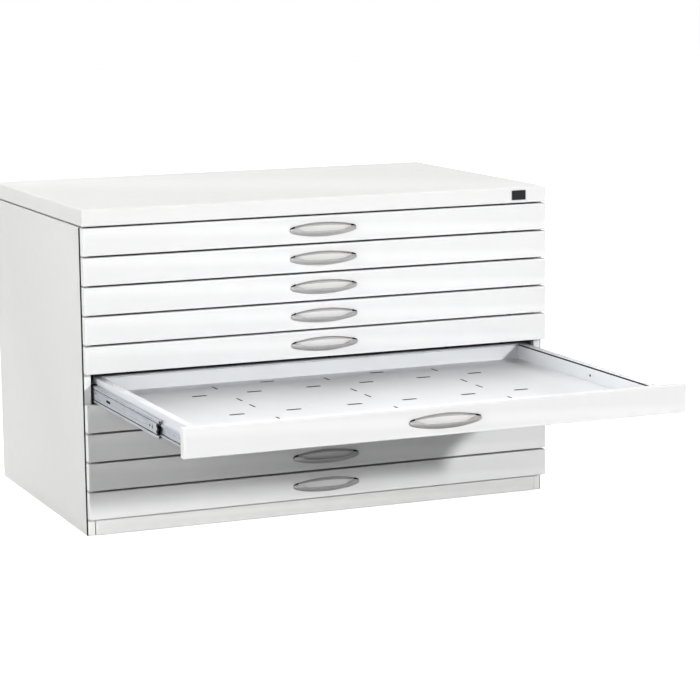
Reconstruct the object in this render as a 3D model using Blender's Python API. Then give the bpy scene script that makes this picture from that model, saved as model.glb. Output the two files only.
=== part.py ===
"""Flat file cabinet (plan chest): a sheet-steel carcass with ten full-extension drawers.

Metres, +Z up. The origin is on the floor under the middle of the carcass, and the drawers
open towards -Y. One drawer stands open, as the cabinet is shown when it is in use.
"""

import math

import bmesh
import bpy

# Driving dimensions of the whole cabinet
CABINET_WIDTH = 1.175
CABINET_DEPTH = 0.765
CABINET_HEIGHT = 0.760
DRAWER_COUNT = 10
DRAWER_PITCH = 0.068
OPEN_DRAWER = 6
OPEN_DISTANCE = 0.678

# Sheet metal and the gaps between its pieces
SHEET = 0.001
EDGE_RADIUS = 0.0015
SEAM = 0.001
TOUCH_GAP = 0.0003

# Drawer fronts, which overlay the carcass over its full width
FRONT_THICKNESS = 0.020
FRONT_GAP = 0.003
FRONT_STANDOFF = 0.0025
FRONT_HEIGHT = DRAWER_PITCH - FRONT_GAP

# Carcass
SIDE_FLANGE = 0.020
SIDE_LIP = 0.010
PLINTH_DEPTH = 0.020
BACK_DEPTH = 0.015
PANEL_LIP = 0.012
DRAWER_STACK = DRAWER_COUNT * DRAWER_PITCH
PLINTH_CELL = 0.040
PLINTH_HEIGHT = PLINTH_CELL - FRONT_GAP / 2
COVER_CELL = CABINET_HEIGHT - PLINTH_CELL - DRAWER_STACK
COVER_HEIGHT = COVER_CELL - FRONT_GAP / 2
CARCASS_TOP = CABINET_HEIGHT - COVER_CELL - FRONT_GAP / 2
FRONT_Y = -CABINET_DEPTH / 2
BACK_Y = CABINET_DEPTH / 2
FRONT_BACK_Y = FRONT_Y + FRONT_THICKNESS
CARCASS_FRONT_Y = FRONT_BACK_Y + FRONT_STANDOFF
SIDE_X = CABINET_WIDTH / 2
INSIDE_X = SIDE_X - SIDE_FLANGE

# Telescopic rails: three channels nested in one another, seen end on
RAIL_SHEET = 0.0012
RAIL_LENGTH = 0.720
RAIL_SETBACK = 0.0015
RAIL_CENTRE = 0.021
OUTER_RAIL_X = INSIDE_X - 0.0005
OUTER_RAIL_HEIGHT = 0.044
OUTER_RAIL_WIDTH = 0.012
MIDDLE_RAIL_INSET = 0.0025
MIDDLE_RAIL_HEIGHT = 0.040
MIDDLE_RAIL_WIDTH = 0.009
MIDDLE_RAIL_SHARE = 0.70
INNER_RAIL_LENGTH = 0.700
INNER_RAIL_HEIGHT = 0.028
INNER_RAIL_WIDTH = 0.0085

# Uprights that carry the outer rails
UPRIGHT_WIDTH = 0.040
UPRIGHT_CLEARANCE = 0.0015
UPRIGHT_DEPTH = SIDE_FLANGE - UPRIGHT_CLEARANCE
UPRIGHT_SPREAD = 0.325
WELD_OVERLAP = 0.0002

# Trays
TRAY_SHEET = 0.0008
TRAY_SIDE_X = OUTER_RAIL_X - OUTER_RAIL_WIDTH - 0.001
TRAY_LENGTH = 0.720
TRAY_FLOOR = 0.0175
TRAY_RIM = 0.056
TRAY_SIDE_RIM = 0.018
TRAY_END_RIM = 0.012
TRAY_SKIRT = 0.006

# Bow handle: a shallow cup that fingers enter from above
HANDLE_LENGTH = 0.168
HANDLE_HEIGHT = 0.033
HANDLE_REACH = 0.020
HANDLE_WALL = 0.0022
HANDLE_PLATE = 0.0015
HANDLE_END_SHARE = 0.36
HANDLE_STATIONS = 13
HANDLE_CURVE_POINTS = 7
HANDLE_LIP_ANGLE = math.radians(25)
HANDLE_SMOOTH_ANGLE = math.radians(40)

# Name plate on the cover
BADGE_WIDTH = 0.040
BADGE_HEIGHT = 0.026
BADGE_THICKNESS = 0.001
BADGE_CENTRE_X = SIDE_X - 0.075

# Directions of a panel's own width, height and outside, for the way it faces
FACINGS = {
    "front": ((1, 0, 0), (0, 0, 1), (0, -1, 0)),
    "back": ((-1, 0, 0), (0, 0, 1), (0, 1, 0)),
    "left": ((0, -1, 0), (0, 0, 1), (-1, 0, 0)),
    "right": ((0, 1, 0), (0, 0, 1), (1, 0, 0)),
    "up": ((1, 0, 0), (0, 1, 0), (0, 0, 1)),
    "down": ((-1, 0, 0), (0, 1, 0), (0, 0, -1)),
}


def clear_scene():
    """Remove whatever the scene holds."""
    for obj in list(bpy.data.objects):
        bpy.data.objects.remove(obj, do_unlink=True)


def make_material(name, colour, roughness, metallic):
    """Make a Principled material of one colour."""
    material = bpy.data.materials.new(name)
    material.use_nodes = True
    shader = material.node_tree.nodes["Principled BSDF"]
    shader.inputs["Base Color"].default_value = (*colour, 1.0)
    shader.inputs["Roughness"].default_value = roughness
    shader.inputs["Metallic"].default_value = metallic
    return material


def make_materials():
    """Make every finish on the cabinet."""
    return {
        "carcass": make_material("carcass_paint", (0.84, 0.84, 0.83), 0.45, 0.0),
        "front": make_material("front_paint", (0.88, 0.88, 0.88), 0.42, 0.0),
        "tray": make_material("tray_paint", (0.82, 0.83, 0.85), 0.45, 0.0),
        "rail": make_material("zinc_plate", (0.72, 0.76, 0.80), 0.32, 1.0),
        "handle": make_material("satin_silver", (0.66, 0.65, 0.64), 0.34, 0.9),
        "badge": make_material("badge_grey", (0.10, 0.10, 0.11), 0.40, 0.0),
    }


def place(name, mesh, material, parent=None, location=(0, 0, 0)):
    """Put a mesh in the scene as a named object of one material."""
    if not mesh.materials:
        mesh.materials.append(material)
    obj = bpy.data.objects.new(name, mesh)
    obj.location = location
    obj.parent = parent
    bpy.context.collection.objects.link(obj)
    return obj


def place_empty(name, location, parent=None):
    """Put an empty in the scene, for pieces that move together."""
    empty = bpy.data.objects.new(name, None)
    empty.location = location
    empty.parent = parent
    bpy.context.collection.objects.link(empty)
    return empty


def finish_mesh(name, shape):
    """Turn a bmesh into a mesh whose faces point outwards."""
    bmesh.ops.recalc_face_normals(shape, faces=shape.faces)
    mesh = bpy.data.meshes.new(name)
    shape.to_mesh(mesh)
    shape.free()
    return mesh


def loft(name, loops):
    """Skin closed loops of points, one after another, and cap the first and the last."""
    shape = bmesh.new()
    rows = [[shape.verts.new(point) for point in loop] for loop in loops]
    for row, following in zip(rows, rows[1:]):
        for index in range(len(row)):
            other = (index + 1) % len(row)
            shape.faces.new((row[index], row[other], following[other], following[index]))
    shape.faces.new(rows[0])
    shape.faces.new(list(reversed(rows[-1])))
    return finish_mesh(name, shape)


def rectangle_loft(name, facing, rings, offset=0.0):
    """Skin rectangles, each (left, right, low, high, depth behind the outer face)."""
    across, upward, outward = FACINGS[facing]
    loops = []
    for left, right, low, high, depth in rings:
        corners = ((left, low), (right, low), (right, high), (left, high))
        loops.append([
            tuple(
                u * across[axis] + v * upward[axis] + (offset - depth) * outward[axis]
                for axis in range(3)
            )
            for u, v in corners
        ])
    return loft(name, loops)


def inset(rectangle, margins):
    """Shrink (left, right, low, high) by margins given in the same order."""
    left, right, low, high = rectangle
    return left + margins[0], right - margins[1], low + margins[2], high - margins[3]


def folded_pan(name, facing, rectangle, offset, depth, lips):
    """A sheet folded back on its four sides, with a lip turned in along each of them.

    The outer face lies at the given offset along its outward direction; lips are the four
    lip widths for left, right, low and high.
    """
    def ring(margins, ring_depth):
        return (*inset(rectangle, margins), ring_depth)

    rings = [
        ring([EDGE_RADIUS] * 4, 0.0),
        ring([0.0] * 4, EDGE_RADIUS),
        ring([0.0] * 4, depth),
        ring(lips, depth),
        ring(lips, depth - SHEET),
        ring([SHEET] * 4, depth - SHEET),
        ring([SHEET] * 4, SHEET),
    ]
    return rectangle_loft(name, facing, rings, offset)


def extrude_section(name, section, start, end):
    """Run an (x, z) section along Y from start to end."""
    return loft(name, [[(x, y, z) for x, z in section] for y in (start, end)])


def channel_section(side, web_x, width, height, towards):
    """Outline of a channel in (x, z): its web at web_x, its flanges running `towards`.

    side is -1 for the left of the cabinet and 1 for the right. towards is 1 when the
    flanges point outwards, away from the middle of the cabinet, and -1 when they point in.
    """
    tip_x = web_x + towards * width
    inner_x = web_x + towards * RAIL_SHEET
    top = height / 2
    inner_top = top - RAIL_SHEET
    outline = [
        (web_x, -top), (tip_x, -top), (tip_x, -inner_top), (inner_x, -inner_top),
        (inner_x, inner_top), (tip_x, inner_top), (tip_x, top), (web_x, top),
    ]
    return [(side * x, z) for x, z in outline]


def union_mesh(name, meshes):
    """Weld overlapping solids into one closed mesh with exact Booleans."""
    helpers = []
    for number, mesh in enumerate(meshes):
        helper = bpy.data.objects.new(f"{name}_helper_{number}", mesh)
        bpy.context.collection.objects.link(helper)
        helpers.append(helper)
    body = helpers[0]
    for helper in helpers[1:]:
        modifier = body.modifiers.new("weld", "BOOLEAN")
        modifier.operation = "UNION"
        modifier.object = helper
    evaluated = body.evaluated_get(bpy.context.evaluated_depsgraph_get())
    welded = bpy.data.meshes.new_from_object(evaluated)
    welded.name = name
    for helper in helpers:
        bpy.data.objects.remove(helper, do_unlink=True)
    return welded


def cell_bottom(number):
    """Height of the bottom of a drawer's share of the front, drawer 1 being the top one."""
    return PLINTH_CELL + (DRAWER_COUNT - number) * DRAWER_PITCH


def add_top_cover(material):
    """The deep slab-like cover that laps over the carcass."""
    rectangle = (-SIDE_X, SIDE_X, FRONT_Y, BACK_Y)
    mesh = folded_pan("top_cover", "up", rectangle, CABINET_HEIGHT, COVER_HEIGHT, [SIDE_LIP] * 4)
    place("top_cover", mesh, material)


def add_top_deck(material):
    """The carcass's own top, an upturned pan that carries the cover."""
    side = INSIDE_X
    front = CARCASS_FRONT_Y - SEAM
    rectangle = (-side, side, front, -front)
    bottom = CARCASS_TOP + TOUCH_GAP
    depth = CABINET_HEIGHT - SHEET - TOUCH_GAP - bottom
    mesh = folded_pan("top_deck", "down", rectangle, -bottom, depth, [PANEL_LIP] * 4)
    place("top_deck", mesh, material)


def add_side_panel(name, facing, material):
    """A side wall whose front return is the flange beside the drawers."""
    along = sorted((CARCASS_FRONT_Y, BACK_Y))
    if facing == "left":
        along = [-BACK_Y, -CARCASS_FRONT_Y]
    rectangle = (*along, 0.0, CARCASS_TOP)
    mesh = folded_pan(name, facing, rectangle, SIDE_X, SIDE_FLANGE, [SIDE_LIP] * 4)
    place(name, mesh, material)


def add_back_panel(material):
    """The back wall, set between the side walls."""
    half = INSIDE_X - SEAM
    rectangle = (-half, half, 0.0, CARCASS_TOP)
    mesh = folded_pan("back_panel", "back", rectangle, BACK_Y, BACK_DEPTH, [PANEL_LIP] * 4)
    place("back_panel", mesh, material)


def add_base_panel(material):
    """The bottom pan, which rests on the floor between the plinth and the back."""
    half = INSIDE_X - SEAM
    front = CARCASS_FRONT_Y + PLINTH_DEPTH + SEAM
    back = BACK_Y - BACK_DEPTH - SEAM
    depth = PLINTH_CELL - FRONT_GAP
    mesh = folded_pan("base_panel", "down", (-half, half, front, back), 0.0, depth, [PANEL_LIP] * 4)
    place("base_panel", mesh, material)


def add_plinth_panel(material):
    """The plinth below the lowest drawer, set between the side flanges."""
    half = INSIDE_X - SEAM
    rectangle = (-half, half, 0.0, PLINTH_HEIGHT)
    lips = [PANEL_LIP] * 4
    mesh = folded_pan("plinth_panel", "front", rectangle, -CARCASS_FRONT_Y, PLINTH_DEPTH, lips)
    place("plinth_panel", mesh, material)


def outer_rail_mesh(side, number):
    """One rail that stays in the carcass."""
    section = channel_section(side, OUTER_RAIL_X, OUTER_RAIL_WIDTH, OUTER_RAIL_HEIGHT, -1)
    centre = cell_bottom(number) + RAIL_CENTRE
    raised = [(x, z + centre) for x, z in section]
    start = CARCASS_FRONT_Y + RAIL_SETBACK
    return extrude_section("outer_rail", raised, start, start + RAIL_LENGTH)


def upright_mesh(side, y_centre):
    """A folded post behind the rails, open towards the side wall."""
    near = OUTER_RAIL_X - WELD_OVERLAP
    far = near + UPRIGHT_DEPTH
    low_y, high_y = y_centre - UPRIGHT_WIDTH / 2, y_centre + UPRIGHT_WIDTH / 2
    outline = [
        (near, low_y), (far, low_y), (far, low_y + SHEET), (near + SHEET, low_y + SHEET),
        (near + SHEET, high_y - SHEET), (far, high_y - SHEET), (far, high_y), (near, high_y),
    ]
    heights = (SIDE_LIP + SEAM, CARCASS_TOP - SIDE_LIP - SEAM)
    return loft("upright", [[(side * x, y, z) for x, y in outline] for z in heights])


def add_rail_rack(name, side, material):
    """Three uprights with an outer rail welded across them for every drawer."""
    uprights = [upright_mesh(side, share * UPRIGHT_SPREAD) for share in (-1, 0, 1)]
    rails = [outer_rail_mesh(side, number) for number in range(1, DRAWER_COUNT + 1)]
    place(name, union_mesh(name, uprights + rails), material)


def tray_pan_mesh():
    """A tray whose sides are box sections, seen from the height of its drawer's cell."""
    front = FRONT_BACK_Y + TOUCH_GAP
    rectangle = (-TRAY_SIDE_X, TRAY_SIDE_X, front, front + TRAY_LENGTH)
    rim = (TRAY_SIDE_RIM, TRAY_SIDE_RIM, TRAY_END_RIM, TRAY_END_RIM)
    inside_rim = [width - TRAY_SHEET for width in rim]
    profile = [
        (rim, TRAY_FLOOR + TRAY_SHEET),
        (rim, TRAY_RIM),
        ([0.0] * 4, TRAY_RIM),
        ([0.0] * 4, TRAY_SKIRT),
        ([TRAY_SHEET] * 4, TRAY_SKIRT),
        ([TRAY_SHEET] * 4, TRAY_RIM - TRAY_SHEET),
        (inside_rim, TRAY_RIM - TRAY_SHEET),
        (inside_rim, TRAY_FLOOR),
    ]
    rings = [(*inset(rectangle, margins), -height) for margins, height in profile]
    return rectangle_loft("tray_pan", "up", rings)


def inner_rail_mesh(side):
    """The rail member that is welded to a tray's side."""
    web_x = TRAY_SIDE_X - WELD_OVERLAP
    section = channel_section(side, web_x, INNER_RAIL_WIDTH, INNER_RAIL_HEIGHT, 1)
    raised = [(x, z + RAIL_CENTRE) for x, z in section]
    start = FRONT_BACK_Y + TOUCH_GAP + SEAM
    return extrude_section("inner_rail", raised, start, start + INNER_RAIL_LENGTH)


def tray_mesh():
    """A tray with both its inner rails."""
    return union_mesh("tray", [tray_pan_mesh(), inner_rail_mesh(-1), inner_rail_mesh(1)])


def middle_rail_mesh(side):
    """The rail member that runs between the outer and the inner rail."""
    web_x = OUTER_RAIL_X - MIDDLE_RAIL_INSET
    section = channel_section(side, web_x, MIDDLE_RAIL_WIDTH, MIDDLE_RAIL_HEIGHT, -1)
    raised = [(x, z + RAIL_CENTRE) for x, z in section]
    start = CARCASS_FRONT_Y + RAIL_SETBACK
    return extrude_section("middle_rail", raised, start, start + RAIL_LENGTH)


def front_mesh():
    """A folded drawer front; the tray's front wall covers the opening in its back."""
    low = FRONT_GAP / 2
    rectangle = (-SIDE_X, SIDE_X, low, low + FRONT_HEIGHT)
    end_lip = SIDE_X - TRAY_SIDE_X + TRAY_SIDE_RIM
    lips = [end_lip, end_lip, PANEL_LIP, FRONT_HEIGHT - TRAY_RIM + PANEL_LIP]
    return folded_pan("front", "front", rectangle, -FRONT_Y, FRONT_THICKNESS, lips)


def handle_section(share):
    """Section of the handle at a share (-1 to 1) of its half length, as (out, up) points."""
    fullness = HANDLE_END_SHARE + (1 - HANDLE_END_SHARE) * (1 - share * share)
    half_height = fullness * HANDLE_HEIGHT / 2
    reach = fullness * HANDLE_REACH
    bottom = -math.pi / 2
    steps = [index / (HANDLE_CURVE_POINTS - 1) for index in range(HANDLE_CURVE_POINTS)]
    outside = [bottom + step * (HANDLE_LIP_ANGLE - bottom) for step in steps]
    inner_reach = reach - HANDLE_WALL
    inner_bottom = -math.acos(HANDLE_PLATE / inner_reach)
    inside = [HANDLE_LIP_ANGLE + step * (inner_bottom - HANDLE_LIP_ANGLE) for step in steps]
    points = [(reach * math.cos(a), half_height * math.sin(a)) for a in outside]
    inner_half = half_height - HANDLE_WALL
    points += [(inner_reach * math.cos(a), inner_half * math.sin(a)) for a in inside]
    points += [(HANDLE_PLATE, half_height), (0.0, half_height)]
    return points


def handle_mesh():
    """The bow handle, lofted along its length on the face of a drawer front."""
    face_y = FRONT_Y - TOUCH_GAP
    centre_z = DRAWER_PITCH / 2
    loops = []
    for station in range(HANDLE_STATIONS):
        share = 2 * station / (HANDLE_STATIONS - 1) - 1
        x = share * HANDLE_LENGTH / 2
        loops.append([(x, face_y - out, centre_z + up) for out, up in handle_section(share)])
    mesh = loft("handle", loops)
    mesh.shade_smooth()
    mesh.set_sharp_from_angle(angle=HANDLE_SMOOTH_ANGLE)
    return mesh


def add_badge(material):
    """A plain plate at the right of the cover's front edge."""
    centre_z = CABINET_HEIGHT - COVER_HEIGHT / 2
    rectangle = (
        BADGE_CENTRE_X - BADGE_WIDTH / 2, BADGE_CENTRE_X + BADGE_WIDTH / 2,
        centre_z - BADGE_HEIGHT / 2, centre_z + BADGE_HEIGHT / 2,
    )
    bevel = BADGE_THICKNESS / 2
    rings = [
        (*inset(rectangle, [bevel] * 4), 0.0),
        (*rectangle, bevel),
        (*rectangle, BADGE_THICKNESS),
    ]
    offset = -FRONT_Y + TOUCH_GAP + BADGE_THICKNESS
    place("badge_plate", rectangle_loft("badge_plate", "front", rings, offset), material)


def add_drawer(number, meshes, materials):
    """One drawer with the middle rails that telescope under it."""
    opened = OPEN_DISTANCE if number == OPEN_DRAWER else 0.0
    height = cell_bottom(number)
    label = f"{number:02d}"
    drawer = place_empty(f"drawer_{label}", (0, -opened, height))
    place(f"tray_{label}", meshes["tray"], materials["tray"], drawer)
    place(f"drawer_front_{label}", meshes["front"], materials["front"], drawer)
    place(f"handle_{label}", meshes["handle"], materials["handle"], drawer)
    rails = place_empty(f"middle_rails_{label}", (0, -opened * MIDDLE_RAIL_SHARE, height))
    place(f"middle_rail_left_{label}", meshes["middle_left"], materials["rail"], rails)
    place(f"middle_rail_right_{label}", meshes["middle_right"], materials["rail"], rails)


def add_drawers(materials):
    """All the drawers, which share their meshes."""
    meshes = {
        "tray": tray_mesh(),
        "front": front_mesh(),
        "handle": handle_mesh(),
        "middle_left": middle_rail_mesh(-1),
        "middle_right": middle_rail_mesh(1),
    }
    for number in range(1, DRAWER_COUNT + 1):
        add_drawer(number, meshes, materials)


def build():
    """Build the whole cabinet."""
    clear_scene()
    materials = make_materials()
    add_top_cover(materials["carcass"])
    add_top_deck(materials["carcass"])
    add_side_panel("side_panel_left", "left", materials["carcass"])
    add_side_panel("side_panel_right", "right", materials["carcass"])
    add_back_panel(materials["carcass"])
    add_base_panel(materials["carcass"])
    add_plinth_panel(materials["carcass"])
    add_rail_rack("rail_rack_left", -1, materials["rail"])
    add_rail_rack("rail_rack_right", 1, materials["rail"])
    add_badge(materials["badge"])
    add_drawers(materials)


build()
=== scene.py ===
"""Looks of the flat file cabinet: folded sheet steel, ball rails and bow handles.

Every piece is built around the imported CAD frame, in metres, and rides on its CAD body.
Drawer pieces are built once, measured from their own drawer's front, and shared.
"""

import math

import bmesh
import bpy
from mathutils import Matrix, Vector, geometry


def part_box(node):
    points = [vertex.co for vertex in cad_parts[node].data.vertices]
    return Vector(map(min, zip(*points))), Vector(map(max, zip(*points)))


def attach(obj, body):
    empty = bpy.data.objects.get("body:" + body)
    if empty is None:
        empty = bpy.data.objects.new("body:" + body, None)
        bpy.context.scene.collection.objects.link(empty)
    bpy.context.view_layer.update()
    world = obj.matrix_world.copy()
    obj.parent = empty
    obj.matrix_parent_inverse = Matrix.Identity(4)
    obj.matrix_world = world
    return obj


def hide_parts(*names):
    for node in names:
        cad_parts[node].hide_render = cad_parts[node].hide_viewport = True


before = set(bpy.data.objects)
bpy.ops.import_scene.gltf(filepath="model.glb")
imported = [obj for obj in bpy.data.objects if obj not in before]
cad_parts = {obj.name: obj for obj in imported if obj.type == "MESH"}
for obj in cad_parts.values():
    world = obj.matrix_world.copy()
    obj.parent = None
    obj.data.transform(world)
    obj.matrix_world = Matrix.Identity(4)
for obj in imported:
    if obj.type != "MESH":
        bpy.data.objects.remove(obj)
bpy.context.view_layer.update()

# Sheet metal, and how finely folds and corners are drawn
SHEET = 0.001
TRAY_SHEET = 0.0008
RAIL_SHEET = 0.0012
FOLD_RADIUS = 0.0022
FRONT_FOLD_RADIUS = 0.0013
TRAY_FOLD_RADIUS = 0.0014
RAIL_FOLD_RADIUS = 0.0009
FOLD_STEPS = 4
FOLD_SHARE = 0.45
CORNER_RADIUS = 0.0016
CORNER_STEPS = 3
ROUND_END_STEPS = 4
SMOOTH_ANGLE = math.radians(32)
PANEL_LIP = 0.012
FACE_STRIP = 0.006

# Joins of flat plates: the triangulation's output type that leaves holes out, and its merging
TRIANGLES_WITHOUT_HOLES = 2
MERGE_DISTANCE = 1e-7

# Gaps that show dark: side walls behind the fronts, and each front's trimmed upper and lower edge
SHADOW_GAP = 0.0045
FRONT_TRIM = 0.0006

# Plain badge: its raised frame, corner and sunk field, as shares of half its height and thickness
BADGE_FRAME_SHARE = 0.12
BADGE_CORNER_SHARE = 0.18
BADGE_FIELD_SHARE = 0.55

# Tray
TRAY_FLOOR = 0.0160
TRAY_SIDE_RIM = 0.018
TRAY_END_RIM = 0.012
TRAY_SIDE_CLEARANCE = 0.0083
STRIP_HEIGHT = 0.0034
STRIP_DEPTH = 0.0026
STRIP_HEM = 0.0014
RIM_CREASE = 0.0016
FLOOR_TUCK = 0.0004
SLOT_COLUMN_SPACING = 0.281
SLOT_FIRST_ROW = 0.0883
SLOT_ROW_STEP = 0.0827
SLOT_ROWS = 8
SLOT_CROSS_EVERY = 3
SLOT_CROSS_OFFSET = 0.067
SLOT_LENGTH = 0.037
SLOT_CROSS_WIDTH = 0.0115
SLOT_DEPTH_WIDTH = 0.0050
SLOT_REAR_ROW = 0.695
# How far the near-black plates painted as shade in the floor's slots sit below the floor's top
SLOT_SHADE_RECESS = 0.0002
# A near-black disc on each side wall, painted as the shade inside a small hole there
WALL_HOLE_SHADE_RADIUS = 0.003
WALL_HOLE_SHADE_PLACE = 0.352
WALL_HOLE_SHADE_HEIGHT = 0.0325

# Rails, seen end on: across from the rail's inner edge and up from its middle.
# Along a rail, places are measured from its front end.
RACEWAY_GAP = 0.0020
RACEWAY_DEPTH = 0.0014

# Inner rail, on the tray
INNER_RAIL_LENGTH = 0.700
INNER_RAIL_START = 0.0213
INNER_RAIL_HALF = 0.0134
INNER_RAIL_REACH = 0.0078
INNER_RAIL_BEAD = 0.0042
INNER_RAIL_WEB = 0.0052
INNER_RAIL_GAP = 0.0004
INNER_GROOVE = (0.0030, 0.0052)
INNER_GROOVE_SLOPE = 0.0004
INNER_GROOVE_DEPTH = 0.0012

# Middle rail: its bent edges, its web, the holes in the web and the ribs along it
MIDDLE_EDGE = 0.0006
MIDDLE_LIP = 0.0020
MIDDLE_GROOVE = (0.0030, 0.0060)
MIDDLE_GROOVE_SLOPE = 0.0006
MIDDLE_GROOVE_DEPTH = 0.0016
MIDDLE_LOBE = 0.0008
MIDDLE_WEB_HALF = 0.0112
MIDDLE_WEB_TUCK = 0.0004
MIDDLE_HOLE = 0.0060
MIDDLE_HOLE_PLACE = 0.062
MIDDLE_REAR_HOLE_PLACE = 0.060
MIDDLE_NOTCH = (0.0040, 0.0110)
MIDDLE_NOTCH_PLACE = 0.045
MIDDLE_SLOT_LENGTH = 0.0300
RIB_WIDTH = 0.0022
RIB_RISE = 0.0004
RIB_PLACE = 0.0085
RIB_FORWARD = 0.02
RIB_SHORTER = 0.17

# Plastic stop in a middle rail's front end
STOP_LENGTH = 0.010
STOP_TEETH = 4
STOP_SWING = 0.0075
STOP_THICKNESS = 0.0010

# Ball cages along the middle rails' upper and lower edges
CAGE_START = 0.3405
CAGE_LENGTH = 0.300
CAGE_SHEET = 0.0006
CAGE_WIDTH = 0.0042
CAGE_SIDE_GAP = 0.0020
CAGE_LIFT = 0.0002
BALL_RADIUS = 0.0014
BALL_COUNT = 18

# Outer rail, in the carcass, with a cap on its front end
OUTER_HALF = 0.0214
OUTER_REACH = 0.0025
OUTER_LIP = 0.0030
OUTER_BACK_EDGE = 0.0080
OUTER_HOOK = 0.0003
OUTER_HOOK_EDGE = 0.0065
RAIL_CAP_LENGTH = 0.007
RAIL_CAP_WALL = 0.0002

# Uprights that carry the outer rails
UPRIGHT_WIDTH = 0.040
UPRIGHT_SPREAD = 0.325

# Bow handle: a lip, a rim (the bar) above it, and the rim's ends painted near-black as the shade
# where it meets the lip
HANDLE_STATIONS = 41
HANDLE_CURVE_POINTS = 9
HANDLE_WALL = 0.0022
HANDLE_BAR_REACH = 0.0048
HANDLE_BAR_SHARE = 0.23
HANDLE_BAR_LIMIT = 0.7
HANDLE_END_FULLNESS = 0.40
HANDLE_END_SHARPNESS = 14
HANDLE_END_SHARE = 0.4
HANDLE_WALL_LIMIT = 0.4
HANDLE_OPENING = 0.56
HANDLE_CLOSED = 0.93
HANDLE_LIP_ANGLE = math.radians(-10)
HANDLE_CLOSED_ANGLE = math.radians(44)
HANDLE_SHADE_START = 2
HANDLE_SHADE_STATIONS = 5

# Camera, set by matching the cabinet's corners from the same viewpoint
CAMERA_PLACE = (-2.1955, -5.7925, 1.354)
CAMERA_YAW = math.radians(22.68)
CAMERA_PITCH = math.radians(-9.309)
CAMERA_ROLL = math.radians(-0.628)
CAMERA_LENS = 128.47
CAMERA_SENSOR = 36.0
CAMERA_REACH = 100.0
CAMERA_GAMMA = 0.75

# Light
BACKDROP_LIGHT = 1.0
HORIZON_LIGHT = 0.16
SKY_LIGHT = 0.03
HORIZON_TOP = math.radians(10)
SKY_START = math.radians(35)
SOFTBOX_EDGE = math.radians(12)
# Softboxes overhead and behind, at the left side and at the front left: aim, spread, strength
SOFTBOXES = (
    ((0.0, 0.50, 0.87), math.radians(22), 4.2),
    ((-1.0, -0.20, 0.10), math.radians(34), 2.1),
    ((-0.6, -1.0, 0.05), math.radians(24), 0.9),
)
KEY_DIRECTION = (0.41, -1.0, 0.35)
KEY_STRENGTH = 1.8
KEY_SOFTNESS = math.radians(4)
FLOOR_GLOW = 0.82
FLOOR_SIZE = 40.0
FLOOR_DROP = 0.0006

# Directions of a panel's own width, height and outside, for the way it faces
FACINGS = {
    "front": ((1, 0, 0), (0, 0, 1), (0, -1, 0)),
    "back": ((-1, 0, 0), (0, 0, 1), (0, 1, 0)),
    "left": ((0, 1, 0), (0, 0, 1), (-1, 0, 0)),
    "right": ((0, 1, 0), (0, 0, 1), (1, 0, 0)),
    "up": ((1, 0, 0), (0, 1, 0), (0, 0, 1)),
    "down": ((-1, 0, 0), (0, 1, 0), (0, 0, -1)),
}

# Sockets of a mix node that carry colours: they share their names with sockets of other kinds
MIX_COLOURS = (6, 7)
MIX_RESULT = 2

# Places in a piece's list of finishes
FIRST, SECOND, THIRD = range(3)


# ---------------------------------------------------------------- materials


class NodeTree:
    """Shorthand for building shader nodes."""

    def __init__(self, tree):
        self.tree = tree

    def set(self, node, inputs):
        """Fill a node's inputs with plain values or with other nodes' outputs."""
        for key, value in inputs.items():
            if isinstance(value, bpy.types.NodeSocket):
                self.tree.links.new(value, node.inputs[key])
            else:
                node.inputs[key].default_value = value
        return node

    def add(self, kind, inputs=None):
        """Add a node and fill its inputs."""
        return self.set(self.tree.nodes.new(kind), inputs or {})

    def math(self, operation, first, second):
        """One sum on two values."""
        node = self.tree.nodes.new("ShaderNodeMath")
        node.operation = operation
        return self.set(node, {0: first, 1: second}).outputs["Value"]

    def remap(self, value, low, high, start=0.3, end=0.7):
        """Spread a value between start and end, as most of a noise's are, over low to high."""
        inputs = {
            "Value": value, "From Min": start, "From Max": end, "To Min": low, "To Max": high,
        }
        return self.add("ShaderNodeMapRange", inputs).outputs["Result"]


class Finish(NodeTree):
    """The nodes of one procedural material."""

    def __init__(self, name):
        self.material = bpy.data.materials.new(name)
        self.material.use_nodes = True
        super().__init__(self.material.node_tree)
        self.shader = self.tree.nodes["Principled BSDF"]
        self.place = self.add("ShaderNodeTexCoord").outputs["Object"]

    def stretched(self, scale):
        """The object's coordinates, scaled by an amount for each axis."""
        mapping = self.add("ShaderNodeMapping", {"Vector": self.place, "Scale": scale})
        return mapping.outputs["Vector"]

    def noise(self, scale, detail=2.0, vector=None):
        """Noise between 0 and 1."""
        inputs = {"Vector": vector or self.place, "Scale": scale, "Detail": detail}
        return self.add("ShaderNodeTexNoise", inputs).outputs["Fac"]

    def blend(self, factor, first, second):
        """Mix two colours."""
        node = self.tree.nodes.new("ShaderNodeMix")
        node.data_type = "RGBA"
        self.tree.links.new(factor, node.inputs[0])
        for index, colour in zip(MIX_COLOURS, (first, second)):
            socket = node.inputs[index]
            if isinstance(colour, bpy.types.NodeSocket):
                self.tree.links.new(colour, socket)
            else:
                socket.default_value = (*colour, 1.0)
        return node.outputs[MIX_RESULT]

    def bump(self, height, distance, strength, normal=None):
        """A bump from a height, on top of another one if it is given."""
        inputs = {"Height": height, "Distance": distance, "Strength": strength}
        if normal:
            inputs["Normal"] = normal
        return self.add("ShaderNodeBump", inputs).outputs["Normal"]

    def edges(self, start, end):
        """How exposed an edge is, from 0 to 1."""
        pointiness = self.add("ShaderNodeNewGeometry").outputs["Pointiness"]
        return self.remap(pointiness, 0.0, 1.0, start, end)


def shade(colour, factor):
    """A colour made darker or lighter."""
    return tuple(min(channel * factor, 1.0) for channel in colour)


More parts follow.
